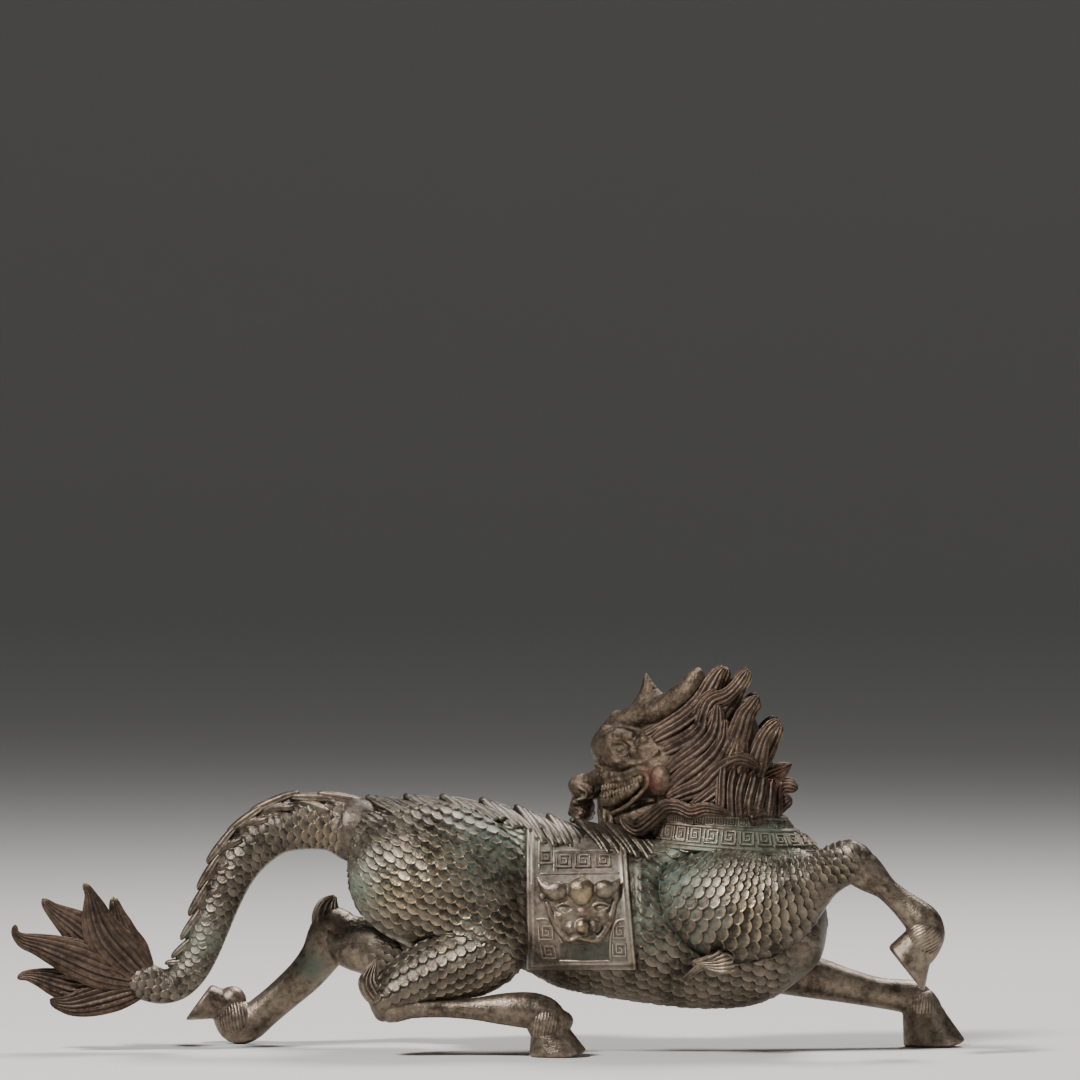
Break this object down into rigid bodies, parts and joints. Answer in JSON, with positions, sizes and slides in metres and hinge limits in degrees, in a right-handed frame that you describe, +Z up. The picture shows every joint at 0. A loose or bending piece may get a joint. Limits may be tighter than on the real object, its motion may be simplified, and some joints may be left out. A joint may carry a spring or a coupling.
{
  "type": "qilin figure",
  "caption": "Bronze qilin table figure, crouched at a run and looking back, with scaled body, saddle cloth, mane, horn and flame tail",
  "frame": {"origin": "on the ground, under the middle of the figure's overall box", "axes": "+X from the tail toward the front hooves, +Y toward the figure's left side, +Z up"},
  "size_m": [0.259, 0.065, 0.1045],
  "materials": {
    "bronze": "cast bronze with a dark brown patina, green bloom in the hollows, red pigment traces and brass-bright worn edges"
  },
  "bodies": {
    "root": {"qilin": "bronze"}
  },
  "joints": []
}
